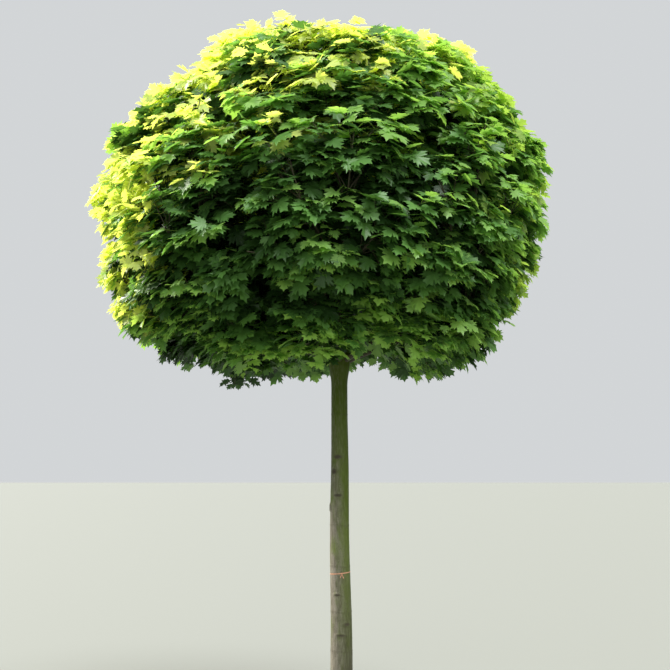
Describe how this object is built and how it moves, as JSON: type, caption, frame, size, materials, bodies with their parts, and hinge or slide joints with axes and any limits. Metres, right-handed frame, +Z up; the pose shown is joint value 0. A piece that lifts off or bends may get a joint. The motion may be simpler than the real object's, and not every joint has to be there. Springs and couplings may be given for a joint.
{
  "type": "globe maple tree",
  "caption": "Rooted globe maple: a straight clear trunk, spreading boughs and a dense round crown of lobed leaves.",
  "frame": {"origin": "centre of the flat cut under the trunk, at ground level", "axes": "+Z up, the crown seen from -Y with +X on the right"},
  "size_m": [2.6067, 2.623, 4.3641],
  "materials": {
    "bark": "matte",
    "young_bark": "matte",
    "leaves_sunlit": "satin",
    "leaves_shaded": "satin",
    "ribbon": "satin"
  },
  "bodies": {
    "root": {"trunk": "bark", "ribbon": "ribbon", "bough_top": "young_bark", "foliage_top": "leaves_sunlit", "bough_upper_1": "young_bark", "foliage_upper_1": "leaves_sunlit", "bough_upper_2": "young_bark", "foliage_upper_2": "leaves_sunlit", "bough_upper_3": "young_bark", "foliage_upper_3": "leaves_sunlit", "bough_upper_4": "young_bark", "foliage_upper_4": "leaves_sunlit", "bough_upper_5": "young_bark", "foliage_upper_5": "leaves_sunlit", "bough_lower_1": "young_bark", "foliage_lower_1": "leaves_shaded", "bough_lower_2": "young_bark", "foliage_lower_2": "leaves_shaded", "bough_lower_3": "young_bark", "foliage_lower_3": "leaves_shaded", "bough_lower_4": "young_bark", "foliage_lower_4": "leaves_shaded", "bough_lower_5": "young_bark", "foliage_lower_5": "leaves_shaded", "bough_lower_6": "young_bark", "foliage_lower_6": "leaves_shaded", "bough_lower_7": "young_bark", "foliage_lower_7": "leaves_shaded", "bough_lower_8": "young_bark", "foliage_lower_8": "leaves_shaded"}
  },
  "joints": []
}
